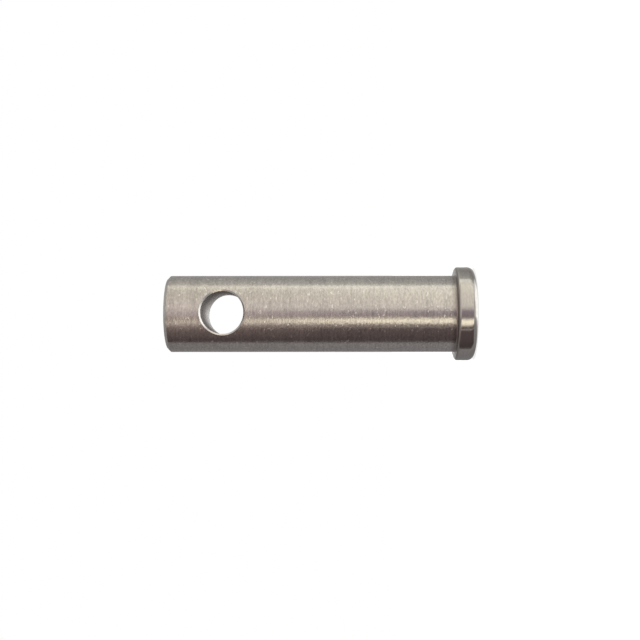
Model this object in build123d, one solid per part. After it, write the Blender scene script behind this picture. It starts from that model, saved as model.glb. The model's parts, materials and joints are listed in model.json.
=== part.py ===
"""Plain clevis pin, turned from round stainless bar in one piece.

The pin stands on its head: the head's outer face lies on z = 0, its axis is +Z, and the tip points up.
A round hole for a split ring or cotter crosses the shank along Y, near the tip. All sizes are in millimetres.
"""

from build123d import *
import os

# Driving dimensions
SHANK_DIAMETER = 10.0
HEAD_DIAMETER = 12.2
HEAD_THICKNESS = 2.5
GRIP_LENGTH = 30.0  # underside of the head to the centre of the cross hole
HOLE_TO_TIP = 7.5  # centre of the cross hole to the end of the shank
CROSS_HOLE_DIAMETER = 5.5

# Edges, as the turning tool and the deburring tool leave them
HEAD_EDGE_RADIUS = 0.9  # rim of the head's outer face
SEAT_EDGE_RADIUS = 0.3  # rim of the head's underside
ROOT_RADIUS = 0.2  # corner between the head's underside and the shank
TIP_CHAMFER = 0.4  # 45 degree lead-in that finds the clevis ears
HOLE_EDGE_BREAK = 0.2  # chamfer on the saddle-shaped mouths of the cross hole

# Worked out from the driving dimensions
shank_radius = SHANK_DIAMETER / 2
head_radius = HEAD_DIAMETER / 2
hole_height = HEAD_THICKNESS + GRIP_LENGTH
overall_length = hole_height + HOLE_TO_TIP

# The head's underside is a narrow flat ring, so the corner at each side of it takes a third of it at most
seat_width = head_radius - shank_radius
seat_edge_radius = min(SEAT_EDGE_RADIUS, seat_width / 3)
root_radius = min(ROOT_RADIUS, seat_width / 3)


def nearest_corner(corners, place):
    """The corner of the section that lies at this (radius, height)."""
    radius, height = place
    return corners.sort_by_distance((radius, 0, height))[0]


def half_section():
    """The turned outline, half of it, from the axis outwards in the XZ plane, with its edges broken."""
    face_corner = (head_radius, 0)
    seat_corner = (head_radius, HEAD_THICKNESS)
    root_corner = (shank_radius, HEAD_THICKNESS)
    tip_corner = (shank_radius, overall_length)
    outline = Polyline(
        (0, 0),
        face_corner,
        seat_corner,
        root_corner,
        tip_corner,
        (0, overall_length),
        close=True,
    )
    section = Plane.XZ * make_face(outline)
    section = fillet(nearest_corner(section.vertices(), face_corner), HEAD_EDGE_RADIUS)
    section = fillet(nearest_corner(section.vertices(), seat_corner), seat_edge_radius)
    section = fillet(nearest_corner(section.vertices(), root_corner), root_radius)
    return chamfer(nearest_corner(section.vertices(), tip_corner), TIP_CHAMFER)


def drill():
    """The cross hole's cutter, longer than the shank is thick, along Y through the pin's axis."""
    reach = 2 * SHANK_DIAMETER
    return Pos(0, 0, hole_height) * Rot(X=90) * Cylinder(CROSS_HOLE_DIAMETER / 2, reach)


def mouths(drilled):
    """The two saddle-shaped edges where the cross hole comes out of the shank."""
    hole_edges = [
        edge
        for face in drilled.faces().filter_by(GeomType.CYLINDER)
        if abs(face.axis_of_rotation.direction.Y) > 0.5
        for edge in face.edges()
        if edge.geom_type != GeomType.LINE
    ]
    return ShapeList(hole_edges)


def clevis_pin():
    """The turned blank, cross drilled, with both mouths of the hole deburred."""
    blank = revolve(half_section(), Axis.Z)
    drilled = blank - drill()
    return chamfer(mouths(drilled), HOLE_EDGE_BREAK)


os.makedirs("parts", exist_ok=True)
pin = clevis_pin()
export_step(pin, "parts/clevis_pin.step")
print(f"clevis_pin: {pin.volume:.0f} mm3, {pin.bounding_box().size}")
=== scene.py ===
# %% [markdown]
# # A stainless clevis pin
#
# A clevis pin holds the two ears of a clevis to the tongue between them. This one is turned from
# round stainless bar: a low flat head at one end, a plain shank, and near the tip a cross hole for
# a split ring. The CAD model is loaded first as a fixed frame, and everything below takes its place
# from that frame.

# %% Load the frame
import json
import math

import bmesh
import bpy
from mathutils import Euler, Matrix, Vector


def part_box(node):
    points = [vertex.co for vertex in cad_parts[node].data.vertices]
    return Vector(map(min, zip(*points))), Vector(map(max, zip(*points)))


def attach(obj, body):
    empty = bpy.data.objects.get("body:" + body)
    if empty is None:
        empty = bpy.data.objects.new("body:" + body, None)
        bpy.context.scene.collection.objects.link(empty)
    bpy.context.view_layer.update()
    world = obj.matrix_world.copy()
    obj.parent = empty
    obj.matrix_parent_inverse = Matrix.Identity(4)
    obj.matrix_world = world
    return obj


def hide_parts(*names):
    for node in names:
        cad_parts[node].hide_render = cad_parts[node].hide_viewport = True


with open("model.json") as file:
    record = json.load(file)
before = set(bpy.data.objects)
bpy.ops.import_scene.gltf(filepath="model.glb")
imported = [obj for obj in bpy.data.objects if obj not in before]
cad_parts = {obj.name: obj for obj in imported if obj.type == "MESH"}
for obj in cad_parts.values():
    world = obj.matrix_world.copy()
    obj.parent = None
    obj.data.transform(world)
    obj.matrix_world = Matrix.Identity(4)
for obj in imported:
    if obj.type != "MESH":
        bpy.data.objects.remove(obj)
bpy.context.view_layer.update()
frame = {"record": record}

# %% [markdown]
# ## The drawing
#
# A turner works from a handful of sizes in millimetres, so the mesh is made in millimetres too and
# shrunk to metres at the very end. The overall sizes are read from the CAD node, and the shank, the
# head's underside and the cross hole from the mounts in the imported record, so the mesh can't drift
# away from the model. Only the small roundings and chamfers are written here, as the drawing gives
# them.

# %% Sizes in millimetres
MILLIMETRE = 0.001

low, high = (Vector(corner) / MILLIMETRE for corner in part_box("clevis_pin"))
mounts = {mount["name"]: mount for mount in frame["record"]["mounts"]}
OVERALL_LENGTH = high.z - low.z
HEAD_RADIUS = (high.x - low.x) / 2
SHANK_RADIUS = mounts["shank"]["dims"]["r_mm"]
HEAD_THICKNESS = mounts["head_seat"]["pos_m"][2] / MILLIMETRE
HOLE_RADIUS = mounts["cross_hole"]["dims"]["r_mm"]
HOLE_HEIGHT = mounts["cross_hole"]["pos_m"][2] / MILLIMETRE
HEAD_EDGE_RADIUS = 0.9
SEAT_EDGE_RADIUS = 0.3
ROOT_RADIUS = 0.2
TIP_CHAMFER = 0.4
DEBURR = 0.2
print(f"pin {OVERALL_LENGTH:.1f} long, shank radius {SHANK_RADIUS:.1f}")
print(f"head radius {HEAD_RADIUS:.2f}, {HEAD_THICKNESS:.1f} thick")
print(f"cross hole radius {HOLE_RADIUS:.2f} at height {HOLE_HEIGHT:.1f}")

# %% [markdown]
# ## The turned blank
#
# A lathe part is a half-section swept round its axis. The half-section is a chain of straight edges
# here, and each of its corners is rounded or chamfered while it is still flat, because a bevel on a
# flat outline can't go wrong. A Screw modifier would sweep it as well, but the spin operator leaves
# a plain mesh that the drill can work on.

# %% The half-section
RIM_SEGMENTS = 10
SMALL_ROUND_SEGMENTS = 5
CHAMFER_SEGMENTS = 1


def outline(mesh, corners):
    """A chain of straight edges through the (radius, height) corners."""
    points = [mesh.verts.new((radius, 0, height)) for radius, height in corners]
    for first, second in zip(points, points[1:]):
        mesh.edges.new((first, second))


def break_corner(mesh, corner, size, segments):
    """Rounds one corner of the outline, or chamfers it when there is only one segment."""
    place = Vector((corner[0], 0, corner[1]))
    point = min(mesh.verts, key=lambda vert: (vert.co - place).length)
    bmesh.ops.bevel(
        mesh,
        geom=[point],
        offset=size,
        offset_type="OFFSET",
        segments=segments,
        profile=0.5,
        affect="VERTICES",
        material=-1,
    )


blank = bmesh.new()
head_face_corner = (HEAD_RADIUS, 0)
seat_corner = (HEAD_RADIUS, HEAD_THICKNESS)
root_corner = (SHANK_RADIUS, HEAD_THICKNESS)
tip_corner = (SHANK_RADIUS, OVERALL_LENGTH)
outline(blank, [(0, 0), head_face_corner, seat_corner, root_corner, tip_corner, (0, OVERALL_LENGTH)])
break_corner(blank, head_face_corner, HEAD_EDGE_RADIUS, RIM_SEGMENTS)
break_corner(blank, seat_corner, SEAT_EDGE_RADIUS, SMALL_ROUND_SEGMENTS)
break_corner(blank, root_corner, ROOT_RADIUS, SMALL_ROUND_SEGMENTS)
break_corner(blank, tip_corner, TIP_CHAMFER, CHAMFER_SEGMENTS)
print("half-section:", len(blank.verts), "points")

# %% [markdown]
# Long straight runs need rows. Some give the drill small faces to cut, and a row close to each
# corner keeps the rounding of that corner from spreading its shading over the straight beside it.

# %% Rows along the straight runs
ROW_HEIGHT = 0.3
CORNER_ROW = 0.04


def straight_runs(mesh):
    """The edges of the outline that are long enough to need rows."""
    return [edge for edge in mesh.edges if edge.calc_length() > 2 * ROW_HEIGHT]


def add_corner_rows(edge):
    """Splits off a short piece at both ends of a straight run."""
    for vert in list(edge.verts):
        run = max(vert.link_edges, key=lambda link: link.calc_length())
        bmesh.utils.edge_split(run, vert, CORNER_ROW / run.calc_length())


for edge in straight_runs(blank):
    add_corner_rows(edge)
for edge in straight_runs(blank):
    rows = round(edge.calc_length() / ROW_HEIGHT)
    bmesh.ops.subdivide_edges(blank, edges=[edge], cuts=rows - 1)
print("half-section with rows:", len(blank.verts), "points")

# %% [markdown]
# The spin operator carries the half-section round the axis in small steps and leaves a wall of
# faces behind it. Two things need care. The last step must join the first, and the points that lie
# on the axis don't move, so each end would keep a heap of points in its middle: merging doubles
# welds them into one. A spin may also turn the shell inside out, so the normals are worked out
# again afterwards.

# %% Spin it round
SPIN_STEPS = 192
WELD = 0.0001
Z_AXIS = (0, 0, 1)

bmesh.ops.spin(
    blank,
    geom=blank.verts[:] + blank.edges[:],
    cent=(0, 0, 0),
    axis=Z_AXIS,
    angle=2 * math.pi,
    steps=SPIN_STEPS,
    use_merge=True,
)
bmesh.ops.remove_doubles(blank, verts=blank.verts, dist=WELD)
bmesh.ops.recalc_face_normals(blank, faces=blank.faces)
print("blank:", len(blank.faces), "faces, open edges:", sum(edge.is_boundary for edge in blank.edges))

# %% [markdown]
# ## The cross hole
#
# Where a round hole leaves a round bar, its mouth is a saddle-shaped curve, and a burr stands on it
# until it is broken with a countersink or a wheel. A boolean would cut the hole, but it leaves
# slivers that catch the light. So a window is opened in the rows of the shank on both sides, and
# rings of points are bridged from the window to the outer edge of the deburred mouth, over the
# small chamfer, and straight through the bar to the other side.

# %% Open a window on both sides
WINDOW_MARGIN = 0.67
WINDOW_HALF_WIDTH = HOLE_RADIUS + DEBURR + WINDOW_MARGIN
FINISH_SHANK, FINISH_BORE, FINISH_DEBURR, FINISH_HEAD = range(4)


def in_window(face):
    """Tells whether a face lies on the shank, in the square that the drill passes."""
    middle = face.calc_center_median()
    on_shank = abs(math.hypot(middle.x, middle.y) - SHANK_RADIUS) < CORNER_ROW
    beside = abs(middle.x) < WINDOW_HALF_WIDTH
    level = abs(middle.z - HOLE_HEIGHT) < WINDOW_HALF_WIDTH
    return on_shank and beside and level


window_faces = [face for face in blank.faces if in_window(face)]
bmesh.ops.delete(blank, geom=window_faces, context="FACES")
window_edges = [edge for edge in blank.edges if edge.is_boundary]
front_window = [edge for edge in window_edges if edge.verts[0].co.y < 0]
back_window = [edge for edge in window_edges if edge.verts[0].co.y > 0]
print("window of", len(front_window), "edges in front and", len(back_window), "behind")

# %% [markdown]
# A mouth is two rings of points. The outer one lies on the shank, a little wider than the drill.
# The inner one has the drill's own width and is sunk by as much, so the faces between the two are
# the small even chamfer that a deburring tool leaves. Both rings follow the curve of the bar, and
# this gives the mouth its saddle shape. They have as many points as the window has edges, so the
# faces between them come out as clean four-sided strips.

# %% Rings of the mouth
FRONT, BACK = -1, 1


def mouth_ring(mesh, radius, side, sunk):
    """A saddle-shaped ring round the hole on one side, on the shank's surface or sunk below it."""
    ring = bmesh.ops.create_circle(mesh, segments=len(front_window), radius=radius)["verts"]
    for vert in ring:
        across, along = vert.co.x, vert.co.y
        surface = math.sqrt(SHANK_RADIUS ** 2 - across ** 2)
        vert.co = (across, side * (surface - sunk), HOLE_HEIGHT + along)
    return list({edge for vert in ring for edge in vert.link_edges})


def bridge(mesh, *rings):
    """Joins two rings of edges with faces, and returns those faces."""
    edges = [edge for ring in rings for edge in ring]
    return bmesh.ops.bridge_loops(mesh, edges=edges)["faces"]


outer = {side: mouth_ring(blank, HOLE_RADIUS + DEBURR, side, sunk=0) for side in (FRONT, BACK)}
inner = {side: mouth_ring(blank, HOLE_RADIUS, side, sunk=DEBURR) for side in (FRONT, BACK)}
surround = bridge(blank, front_window, outer[FRONT]) + bridge(blank, back_window, outer[BACK])
deburr_faces = bridge(blank, outer[FRONT], inner[FRONT]) + bridge(blank, outer[BACK], inner[BACK])
bore_faces = bridge(blank, inner[FRONT], inner[BACK])
for face in deburr_faces:
    face.material_index = FINISH_DEBURR
for face in bore_faces:
    face.material_index = FINISH_BORE
print("hole:", len(surround), "faces round it,", len(deburr_faces), "deburred,", len(bore_faces), "inside")

# %% [markdown]
# The faces from the window to the mouth are flat strips so far. They are cut into shorter ones, and
# every new point is pushed out along its own radius until it lies on the round shank again.

# %% Lay the surround on the shank
SURROUND_CUTS = 5

ring_edges = set(outer[FRONT] + outer[BACK] + window_edges)
spokes = {edge for face in surround for edge in face.edges} - ring_edges
cut = bmesh.ops.subdivide_edges(blank, edges=list(spokes), cuts=SURROUND_CUTS, use_grid_fill=True)
for item in cut["geom_inner"]:
    if isinstance(item, bmesh.types.BMVert):
        item.co.xy = item.co.xy.normalized() * SHANK_RADIUS
bmesh.ops.recalc_face_normals(blank, faces=blank.faces)
print("drilled:", len(blank.faces), "faces, open edges:", sum(edge.is_boundary for edge in blank.edges))

# %% [markdown]
# A turned part is smooth to the eye except where two of its surfaces really meet, as at the
# chamfers. So every face is shaded smooth, and only the edges that fold by more than a set angle
# stay sharp. The head gets a finish of its own, because it is faced and its rim is polished, while
# the shank keeps its turning marks.

# %% Sharp edges and the head's finish
CREASE = math.radians(24)


def crease_edges(mesh):
    """Smooth shading everywhere, except where two faces meet at a real edge."""
    for face in mesh.faces:
        face.smooth = True
    for edge in mesh.edges:
        edge.smooth = edge.calc_face_angle(0) < CREASE


head_faces = [face for face in blank.faces if face.calc_center_median().z < HEAD_THICKNESS]
for face in head_faces:
    face.material_index = FINISH_HEAD
crease_edges(blank)
print("head:", len(head_faces), "faces, sharp edges:", sum(not edge.smooth for edge in blank.edges))

# %% [markdown]
# The mesh leaves the workbench: it is shrunk from millimetres to metres and becomes an object. Its
# place is in its mesh, so the object itself stays at the origin, unturned. It rides on the only
# body there is, and stands in for the plain CAD solid, whose faces are too coarse to show fine
# reflections.

# %% Put the pin in the frame
bmesh.ops.scale(blank, vec=(MILLIMETRE, MILLIMETRE, MILLIMETRE), verts=blank.verts)
pin_mesh = bpy.data.meshes.new("pin_turned")
blank.to_mesh(pin_mesh)
print("volume in cubic mm:", round(blank.calc_volume(signed=True) / MILLIMETRE ** 3, 1))
blank.free()
pin = bpy.data.objects.new("pin_turned", pin_mesh)
bpy.context.scene.collection.objects.link(pin)
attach(pin, "root")
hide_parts("clevis_pin")

# %% [markdown]
# ## Shader maths in plain Python
#
# A material is a graph of nodes. Written out node by node it is long and hard to read, so a small
# class wraps a socket, and a sum on it adds the Math node for that sum. Every other node comes from
# one method, which takes the node's type, its settings and what goes into its sockets.

# %% The shader bench
class Reading:
    """A number that changes over a surface, with the sums that can be done on it."""

    def __init__(self, bench, socket):
        self.bench = bench
        self.socket = socket

    def maths(self, operation, first, second):
        """Adds one Math node that works on two readings or numbers."""
        inputs = {0: first, 1: second}
        return self.bench.node("ShaderNodeMath", {"operation": operation}, inputs)

    def __add__(self, other):
        return self.maths("ADD", self, other)

    def __sub__(self, other):
        return self.maths("SUBTRACT", self, other)

    def __rsub__(self, other):
        return self.maths("SUBTRACT", other, self)

    def __mul__(self, other):
        return self.maths("MULTIPLY", self, other)

    def __truediv__(self, other):
        return self.maths("DIVIDE", self, other)

    def __pow__(self, other):
        return self.maths("POWER", self, other)

    __radd__ = __add__
    __rmul__ = __mul__


class Bench:
    """One material's nodes, emptied, with its output ready."""

    def __init__(self, material):
        material.use_nodes = True
        self.tree = material.node_tree
        self.tree.nodes.clear()

    def node(self, kind, settings=None, inputs=None, output=0):
        """Adds a node, sets it up, fills its sockets and returns one of its outputs."""
        made = self.tree.nodes.new(kind)
        for name, value in (settings or {}).items():
            if name == "stops":
                self.set_stops(made.color_ramp, value)
            else:
                setattr(made, name, value)
        for name, value in (inputs or {}).items():
            if isinstance(value, Reading):
                self.tree.links.new(value.socket, made.inputs[name])
            else:
                made.inputs[name].default_value = value
        if not made.outputs:
            return None
        return Reading(self, made.outputs[output])

    def set_stops(self, ramp, stops):
        """Gives a colour ramp its (position, colour) stops, in order."""
        for index, (position, colour) in enumerate(stops):
            if index < 2:
                stop = ramp.elements[index]
                stop.position = position
            else:
                stop = ramp.elements.new(position)
            stop.color = (*colour, 1)

    def finish(self, shader):
        """Connects the finished shader to the output."""
        self.node("ShaderNodeOutputMaterial", None, {"Surface": shader})


print("shader bench ready")

# %% [markdown]
# ## Turned stainless steel
#
# A lathe tool leaves very fine grooves that run round the bar, and rings where it faces an end.
# They do two things. Each groove is a little brighter or darker than the next, and all together
# they spread a reflection along the bar while it stays fairly crisp round the bar. The first is a
# noise stretched round the pin: its coordinates hardly change along a groove and change fast from
# one groove to the next. The height less the distance from the axis is such a coordinate: it grows
# along the shank and across the flat ends alike.

# %% Coordinates that follow the tool
def coordinate(bench, axis):
    """One of the object's own coordinates in metres: 0 is x, 1 is y and 2 is z."""
    place = bench.node("ShaderNodeTexCoord", output="Object")
    return bench.node("ShaderNodeSeparateXYZ", None, {0: place}, output=axis)


def tool_noise(bench, along_groove, across_grooves, detail):
    """A noise with so many features a metre along a groove and across the grooves."""
    x, y, z = (coordinate(bench, axis) for axis in range(3))
    tool_path = z - (x * x + y * y) ** 0.5
    wound = bench.node(
        "ShaderNodeCombineXYZ",
        None,
        {0: along_groove * x, 1: along_groove * y, 2: across_grooves * tool_path},
    )
    return bench.node("ShaderNodeTexNoise", None, {"Vector": wound, "Scale": 1.0, "Detail": detail})


print("tool coordinates ready")

# %% [markdown]
# The marks come in four sizes. Grooves are long and thin. Bands are wide, where the tool ran a
# little duller or keener. Specks are the short torn ends of grooves. Glints are few, so they come
# from the top of a noise alone: they are small burrs raised in the bump, and their colour is also
# lightened towards near-white as a painted highlight. The first three add up to one number that
# mixes a dark and a light steel.

# %% Marks of the tool
GROOVE_COUNTS = (450, 3600)
BAND_COUNTS = (90, 900)
SPECK_COUNTS = (2400, 4500)
GLINT_COUNTS = (1500, 2500)
GLINT_START = 0.64
GLINT_FULL = 0.78
MIDDLE = 0.5
SPECK_SHARE, GROOVE_SHARE, BAND_SHARE = 0.75, 0.5, 0.35
SPECK_HEIGHT, GROOVE_HEIGHT, GLINT_HEIGHT = 1.15, 0.5, 1.1


def smooth_step(bench, value, start, end):
    """Goes from 0 to 1 as a value goes from start to end."""
    sockets = {"Value": value, "From Min": start, "From Max": end}
    return bench.node("ShaderNodeMapRange", {"interpolation_type": "SMOOTHSTEP"}, sockets)


def mixed(bench, factor, first, second, blend="MIX"):
    """Mixes two colours: the first where the factor is 0, the second where it is 1."""
    sockets = {0: factor, 6: first, 7: second}
    return bench.node("ShaderNodeMix", {"data_type": "RGBA", "blend_type": blend}, sockets, output=2)


class ToolMarks:
    """The marks of the tool on one material."""

    def __init__(self, bench):
        self.grooves = tool_noise(bench, *GROOVE_COUNTS, detail=2)
        self.bands = tool_noise(bench, *BAND_COUNTS, detail=2)
        self.specks = tool_noise(bench, *SPECK_COUNTS, detail=1)
        burrs = tool_noise(bench, *GLINT_COUNTS, detail=1)
        self.glints = smooth_step(bench, burrs, GLINT_START, GLINT_FULL)

    def lightness(self):
        """0 is the dark steel and 1 the light one."""
        fine = SPECK_SHARE * (self.specks - MIDDLE) + GROOVE_SHARE * (self.grooves - MIDDLE)
        return MIDDLE + fine + BAND_SHARE * (self.bands - MIDDLE)

    def height(self):
        """How far the surface stands up, for the bump."""
        torn = SPECK_HEIGHT * self.specks + GROOVE_HEIGHT * self.grooves
        return torn + GLINT_HEIGHT * self.glints


print("marks: features a metre along and across", GROOVE_COUNTS, BAND_COUNTS, SPECK_COUNTS, GLINT_COUNTS)

# %% [markdown]
# The other effect of the grooves is the shader's own anisotropy, turned a quarter, so that the blur
# lies across the grooves. A groove is too fine to model, so a bump stands for it. One function
# makes every finish of the pin, because they are all the same steel: only its colours, its
# roughness and the depth of its grooves change.

# %% The steel
QUARTER_TURN = 0.25
ROUGHNESS_SWING = 0.12
# The colour of the painted highlight on the glints.
PAINTED_GLINT_COLOUR = (0.98, 0.96, 0.92)
# The colour of the painted shade in the corner and in the bore.
SHADED_STEEL = (0.24, 0.20, 0.18)


def steel(name, light, dark, roughness, groove_depth, anisotropy, glint=0, shade=None):
    """Bright stainless steel with the marks of the tool on it, painted glints and painted shade where
    given.
    """
    material = bpy.data.materials.new(name)
    bench = Bench(material)
    marks = ToolMarks(bench)
    colour = mixed(bench, marks.lightness(), (*dark, 1), (*light, 1))
    if glint:
        # Painted highlight: the glints lighten the colour towards near-white.
        colour = mixed(bench, glint * marks.glints, colour, (*PAINTED_GLINT_COLOUR, 1))
    # Painted shade: the mask darkens the colour towards the shaded steel.
    if shade:
        colour = mixed(bench, shade(bench), colour, (*SHADED_STEEL, 1))
    bump_sockets = {"Height": marks.height(), "Strength": 1.0, "Distance": groove_depth}
    shader = bench.node(
        "ShaderNodeBsdfPrincipled",
        None,
        {
            "Base Color": colour,
            "Metallic": 1.0,
            "Roughness": roughness + ROUGHNESS_SWING * (marks.bands - MIDDLE),
            "Anisotropic": anisotropy,
            "Anisotropic Rotation": QUARTER_TURN,
            "Normal": bench.node("ShaderNodeBump", None, bump_sockets),
        },
    )
    bench.finish(shader)
    print("finish:", name)
    return material


print("steel: roughness swings by", ROUGHNESS_SWING, "from band to band")

# %% [markdown]
# Two places are painted darker than the rest, and both are painted shade. The corner between head
# and shank is darkened where the head shades the root of the shank, and the rough wall that the
# drill left in the bore is darkened towards the front, brighter towards the side where the drill
# came out. Both are masks on the pin's own coordinates, in millimetres from its middle and its
# foot, so they stay where they are from any side.

# %% Where shade is painted on the steel
# Painted shade in the corner: how far up the shank it reaches, how dark it gets, and where it fades in
# under the seat.
CORNER_REACH = 0.95
CORNER_SHADE = 0.7
UNDER_SEAT_START = 0.20
UNDER_SEAT_END = 0.03
# Painted shade in the bore: where it is full and where it ends, in millimetres along y, and how dark it
# gets.
BORE_SHADE_FULL = -2.2
BORE_SHADE_END = 3.6
BORE_SHADE_AMOUNT = 0.9


def painted_corner_shade(bench):
    """Painted shade: full at the root of the shank, fading out up the shank and into the seat."""
    level = coordinate(bench, 2) / MILLIMETRE
    above = smooth_step(bench, level, HEAD_THICKNESS + CORNER_REACH, HEAD_THICKNESS)
    below = smooth_step(bench, level, HEAD_THICKNESS - UNDER_SEAT_START, HEAD_THICKNESS - UNDER_SEAT_END)
    return CORNER_SHADE * above * below


def painted_bore_shade(bench):
    """Painted shade: full at the front of the bore, where the drill went in, and none at the back, where
    it came out.
    """
    depth = coordinate(bench, 1) / MILLIMETRE
    return BORE_SHADE_AMOUNT * smooth_step(bench, depth, BORE_SHADE_END, BORE_SHADE_FULL)


print("corner shaded over", CORNER_REACH, "mm, bore tinted up to", BORE_SHADE_END, "mm behind the axis")

# %% [markdown]
# The pin has four finishes. The shank is turned and shows its grooves most. The head was faced and
# its rim polished, so it is smoother and its colours lie closer together; they are also set darker
# than the shank's, a painted shade on what is the same steel. The deburred edge is small and bright.
# The bore is the roughest, so its marks are no more than a faint mottle.

# %% The four finishes
turned_steel = steel(
    "turned_shank",
    light=(0.88, 0.85, 0.80),
    dark=(0.36, 0.344, 0.332),
    roughness=0.24,
    groove_depth=1.2e-5,
    anisotropy=0.55,
    glint=0.65,
    shade=painted_corner_shade,
)
bore_steel = steel(
    "drilled_bore",
    light=(0.95, 0.93, 0.90),
    dark=(0.60, 0.57, 0.54),
    roughness=0.55,
    groove_depth=2e-5,
    anisotropy=0.0,
    shade=painted_bore_shade,
)
deburred_steel = steel(
    "deburred_edge",
    light=(0.90, 0.88, 0.85),
    dark=(0.60, 0.58, 0.55),
    roughness=0.25,
    groove_depth=5e-6,
    anisotropy=0.0,
)
# The head's colours are set darker than the shank's: painted shade.
head_steel = steel(
    "turned_head",
    light=(0.64, 0.615, 0.585),
    dark=(0.465, 0.45, 0.425),
    roughness=0.14,
    groove_depth=3e-6,
    anisotropy=0.4,
    shade=painted_corner_shade,
)
finishes = {
    FINISH_SHANK: turned_steel,
    FINISH_BORE: bore_steel,
    FINISH_DEBURR: deburred_steel,
    FINISH_HEAD: head_steel,
}
for place in sorted(finishes):
    pin.data.materials.append(finishes[place])
print("finishes on the pin:", len(pin.data.materials))

# %% [markdown]
# ## The light tent
#
# Polished metal has almost no colour of its own: it shows what stands round it. A round bar
# squeezes its whole surroundings into stripes, so the stripes on the pin are the studio. The studio
# here is a round tent: cream cloths to the east, dark ones to the west, grey ones behind, a bright
# strip on either side and a darker gap in front. One globe carries them all: a ramp turns the
# compass direction of each point of the globe into the colour of the cloth that hangs there.
# Directions are in degrees from the front, below zero to the east, and a second list is for the
# cloths that hang higher, at the tip's level.

# %% Cloths of the tent
CLOTHS = [
    (-180, (1.0, 1.0, 1.0)),
    (-171, (0.9, 0.9, 0.9)),
    (-164, (0.42, 0.41, 0.40)),
    (-132, (0.40, 0.39, 0.38)),
    (-112, (0.50, 0.49, 0.47)),
    (-102, (0.60, 0.59, 0.55)),
    (-95, (0.68, 0.66, 0.60)),
    (-93, (1.34, 1.32, 1.21)),
    (-85, (1.30, 1.26, 1.14)),
    (-79, (0.97, 0.93, 0.84)),
    (-50, (0.84, 0.79, 0.715)),
    (-18, (0.77, 0.715, 0.665)),
    (-11, (0.64, 0.58, 0.56)),
    (-6, (0.385, 0.32, 0.355)),
    (9, (0.315, 0.26, 0.272)),
    (14, (0.95, 0.88, 0.74)),
    (17, (1.66, 1.53, 1.23)),
    (26, (1.48, 1.36, 1.10)),
    (30, (0.50, 0.43, 0.38)),
    (34, (0.13, 0.10, 0.095)),
    (37, (0.17, 0.14, 0.13)),
    (39, (0.66, 0.57, 0.52)),
    (41, (0.12, 0.09, 0.09)),
    (60, (0.115, 0.088, 0.088)),
    (88, (0.080, 0.064, 0.067)),
    (95, (0.12, 0.10, 0.105)),
    (97, (0.31, 0.288, 0.295)),
    (130, (0.25, 0.24, 0.245)),
    (164, (0.235, 0.23, 0.235)),
    (171, (0.9, 0.9, 0.9)),
    (180, (1.0, 1.0, 1.0)),
]
CLOTHS_ABOVE = [
    (-180, (0.36, 0.35, 0.35)),
    (-132, (0.40, 0.39, 0.38)),
    (-102, (0.58, 0.56, 0.52)),
    (-95, (0.66, 0.63, 0.57)),
    (-93, (1.05, 1.00, 0.88)),
    (-85, (1.00, 0.94, 0.82)),
    (-76, (0.74, 0.69, 0.61)),
    (-56, (0.74, 0.68, 0.60)),
    (-26, (0.88, 0.78, 0.73)),
    (-4, (0.74, 0.64, 0.62)),
    (8, (0.62, 0.52, 0.49)),
    (14, (0.34, 0.26, 0.24)),
    (20, (0.34, 0.265, 0.245)),
    (26, (0.60, 0.50, 0.46)),
    (33, (0.50, 0.41, 0.38)),
    (42, (0.27, 0.205, 0.19)),
    (60, (0.18, 0.137, 0.128)),
    (88, (0.080, 0.060, 0.058)),
    (95, (0.12, 0.10, 0.10)),
    (97, (0.27, 0.25, 0.25)),
    (130, (0.24, 0.23, 0.23)),
    (180, (0.28, 0.275, 0.28)),
]


def compass_stops(cloths):
    """Turns compass directions, in degrees from the front, into the positions of a ramp."""
    return [((angle + 180) / 360, colour) for angle, colour in cloths]


print("tent:", len(CLOTHS), "cloths and", len(CLOTHS_ABOVE), "above them")

# %% [markdown]
# The tent itself is a globe round the pin, with its faces turned inwards. The camera doesn't see it
# and it throws no shadow, so it is there for reflections and soft light alone. It belongs to the
# stage and not to the pin.

# %% The globe
TENT_RADIUS = 0.6
TENT_CUTS = 5

tent_mesh = bpy.data.meshes.new("light_tent")
tent_maker = bmesh.new()
bmesh.ops.create_icosphere(tent_maker, subdivisions=TENT_CUTS, radius=TENT_RADIUS)
bmesh.ops.reverse_faces(tent_maker, faces=tent_maker.faces)
tent_maker.to_mesh(tent_mesh)
tent_maker.free()
tent = bpy.data.objects.new("light_tent", tent_mesh)
bpy.context.scene.collection.objects.link(tent)
tent.visible_camera = False
tent.visible_shadow = False
print("tent radius:", TENT_RADIUS, "m")

# %% [markdown]
# The arctangent of east and north gives the compass direction of a point of the globe. The cloths
# hang a few degrees round from the pin's own front, so the globe's coordinates are turned by as
# much first. The lower belt is brighter towards the head, as if a lamp stood nearer to it, and its
# brightest cloth is thinner down there. Each such place is a pair of distances, from where a fade
# starts to where it ends, in shares of the tent's radius.

# %% Belts of cloth
TENT_TURN = math.radians(3.0)
NEAR_LAMP = (1.26, 1.26, 1.24, 1)
THIN_CLOTH = (0.70, 0.70, 0.72, 1)
TIP_LEVEL = (0.05, 0.16)
LAMP_EAST = (0.12, 0.34)
LAMP_NORTH = (0.0, -0.25)
LAMP_LEVEL = (0.06, -0.10)
THIN_EAST = (0.5, 0.7)
THIN_NORTH = (-0.30, -0.10)
THIN_LEVEL = (-0.095, -0.125)

cloth = bpy.data.materials.new("tent_cloth")
cloth_bench = Bench(cloth)
globe = cloth_bench.node("ShaderNodeTexCoord", output="Object")
turned_globe = {"Vector": globe, "Rotation": (0, 0, TENT_TURN)}
turn = cloth_bench.node("ShaderNodeMapping", {"vector_type": "POINT"}, turned_globe)
east, north, height = (
    cloth_bench.node("ShaderNodeSeparateXYZ", None, {0: turn}, output=axis) for axis in range(3)
)


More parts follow.
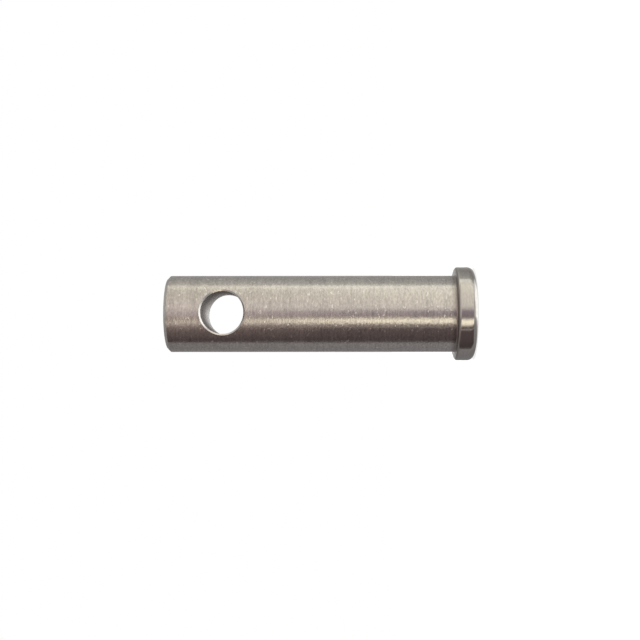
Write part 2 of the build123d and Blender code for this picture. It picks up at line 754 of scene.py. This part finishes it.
def fade(value, reach):
    """Goes from 0 to 1 between two distances, given as shares of the tent's radius."""
    start, end = reach
    return smooth_step(cloth_bench, value, start * TENT_RADIUS, end * TENT_RADIUS)


def belt(cloths):
    """The cloths that hang round the pin, by their compass direction."""
    return cloth_bench.node("ShaderNodeValToRGB", {"stops": compass_stops(cloths)}, {0: compass})


direction = {0: -1 * east, 1: -1 * north}
compass = cloth_bench.node("ShaderNodeMath", {"operation": "ARCTAN2"}, direction) / (2 * math.pi) + 0.5
lamp_side = fade(east, LAMP_EAST) * fade(north, LAMP_NORTH) * fade(height, LAMP_LEVEL)
lower_belt = mixed(cloth_bench, lamp_side, belt(CLOTHS), NEAR_LAMP, blend="MULTIPLY")
thin_side = fade(east, THIN_EAST) * fade(north, THIN_NORTH) * fade(height, THIN_LEVEL)
lower_belt = mixed(cloth_bench, thin_side, lower_belt, THIN_CLOTH, blend="MULTIPLY")
walls = mixed(cloth_bench, fade(height, TIP_LEVEL), lower_belt, belt(CLOTHS_ABOVE))
print("belts turned by", round(math.degrees(TENT_TURN), 1), "degrees")

# %% [markdown]
# Under the pin lies more cloth, white on one side and grey on the other, and a soft box that the
# rounded rim of the head shows as a bright crescent. Over it hangs a plain roof. Soft fades join
# them, because a hard line on the globe would be a hard line on the steel.

# %% Ground, soft box and roof
GREY_CLOTH = (0.32, 0.31, 0.31, 1)
FRONT_CLOTH = (0.66, 0.64, 0.61, 1)
WHITE_CLOTH = (1.05, 1.05, 1.04, 1)
SOFTBOX = (1.7, 1.7, 1.68, 1)
ROOF_CLOTH = (0.5, 0.49, 0.48, 1)
EAST_HALF = (-0.35, 0.05)
FRONT_HALF = (-0.05, -0.30)
GROUND_LEVEL = (-0.60, -0.72)
ROOF_LEVEL = (0.55, 0.80)
BOX_LEAN = 0.35
BOX_BELOW = (0.56, 0.66)
BOX_EAST = (-0.13, -0.05)
BOX_NORTH = (-0.45, -0.20)

east_side = fade(east, EAST_HALF)
bright_ground = mixed(cloth_bench, fade(north, FRONT_HALF), WHITE_CLOTH, FRONT_CLOTH)
ground = mixed(cloth_bench, east_side, GREY_CLOTH, bright_ground)
tent_colour = mixed(cloth_bench, fade(height, GROUND_LEVEL), walls, ground)
below_pin = -1 * height - BOX_LEAN * east
softbox = fade(below_pin, BOX_BELOW) * fade(east, BOX_EAST) * fade(north, BOX_NORTH)
tent_colour = mixed(cloth_bench, softbox, tent_colour, SOFTBOX)
roof = mixed(cloth_bench, east_side, GREY_CLOTH, ROOF_CLOTH)
tent_colour = mixed(cloth_bench, fade(height, ROOF_LEVEL), tent_colour, roof)
cloth_bench.finish(cloth_bench.node("ShaderNodeEmission", None, {"Color": tent_colour, "Strength": 1.0}))
tent.data.materials.append(cloth)
print("tent closed, with a soft box of strength", SOFTBOX[0])

# %% [markdown]
# ## Floor, background and lamp
#
# The pin stands on its head on a plain white floor, in front of plain white. The floor is mostly
# its own white, the same for the camera's, mirrored and refracted rays, with a share of real light
# in it, so that it keeps a soft shadow. The pin's own mirror rays pass it by: the stripes then run
# down to the head, as they do on a pin held clear of any table.

# %% Floor
FLOOR_RADIUS = 0.22
FLOOR_SEGMENTS = 96
FLOOR_PAINT = (0.9, 0.9, 0.9, 1)
FLOOR_WHITE = 0.8
WHITE = (1, 1, 1, 1)

floor_mesh = bpy.data.meshes.new("floor")
floor_maker = bmesh.new()
bmesh.ops.create_circle(floor_maker, cap_ends=True, segments=FLOOR_SEGMENTS, radius=FLOOR_RADIUS)
floor_maker.to_mesh(floor_mesh)
floor_maker.free()
floor = bpy.data.objects.new("floor", floor_mesh)
bpy.context.scene.collection.objects.link(floor)
floor.visible_glossy = False

floor_paint = bpy.data.materials.new("white_floor")
floor_bench = Bench(floor_paint)
lit = floor_bench.node("ShaderNodeBsdfDiffuse", None, {"Color": FLOOR_PAINT})
white = floor_bench.node("ShaderNodeEmission", None, {"Color": WHITE, "Strength": 1.0})
by_camera, by_mirror, by_glass = (
    floor_bench.node("ShaderNodeLightPath", output=ray)
    for ray in ("Is Camera Ray", "Is Glossy Ray", "Is Transmission Ray")
)
own_white = FLOOR_WHITE * (by_camera + by_mirror + by_glass)
floor_bench.finish(floor_bench.node("ShaderNodeMixShader", None, {0: own_white, 1: lit, 2: white}))
floor.data.materials.append(floor_paint)
print("floor radius:", FLOOR_RADIUS, "m")

# %% [markdown]
# The world is plain white at a strength of 1, which shows as white behind the pin and lights it no
# more than paper would. One round soft lamp stands above the tip. It gives the floor its soft
# shadow and stays out of the mirror rays, because its own reflection would sit as a bright spot on
# the tip.

# %% World and lamp
LAMP_WATTS = 4.4
LAMP_HEIGHT = 0.45
LAMP_WIDTH = 0.4

world = bpy.data.worlds.new("plain_white")
bpy.context.scene.world = world
world.use_nodes = True
world.node_tree.nodes["Background"].inputs["Color"].default_value = WHITE
world.node_tree.nodes["Background"].inputs["Strength"].default_value = 1.0

lamp_data = bpy.data.lights.new("overhead_softbox", "AREA")
lamp_data.shape = "DISK"
lamp_data.size = LAMP_WIDTH
lamp_data.energy = LAMP_WATTS
lamp = bpy.data.objects.new("overhead_softbox", lamp_data)
lamp.location = (0, 0, LAMP_HEIGHT)
lamp.visible_glossy = False
bpy.context.scene.collection.objects.link(lamp)
bpy.context.scene.view_settings.view_transform = "Standard"
print("lamp at", LAMP_HEIGHT, "m above the floor")

# %% [markdown]
# ## The camera
#
# The camera looks level at the pin and is rolled by a quarter turn, so the pin lies across the
# frame with its tip to the left. It stands in front, a little nearer to the head than to the tip,
# and sees through the cross hole at a slight slant. The long lens keeps the pin's two sides almost
# parallel. Its angles are in degrees, about X, then Y, then Z.

# %% Camera
CAMERA_PLACE = (-0.00737, -0.14060, 0.01744)
CAMERA_ANGLES = (-177.2813, 88.9216, 90.0458)
LENS_MILLIMETRES = 60.29
SENSOR_MILLIMETRES = 36
NEAREST_SEEN = 0.01

camera_data = bpy.data.cameras.new("camera")
camera_data.lens = LENS_MILLIMETRES
camera_data.sensor_width = SENSOR_MILLIMETRES
camera_data.clip_start = NEAREST_SEEN
camera = bpy.data.objects.new("camera", camera_data)
camera.location = CAMERA_PLACE
camera.rotation_euler = Euler([math.radians(angle) for angle in CAMERA_ANGLES])
bpy.context.scene.collection.objects.link(camera)
bpy.context.scene.camera = camera
print("camera at", CAMERA_PLACE, "with a lens of", LENS_MILLIMETRES, "mm")
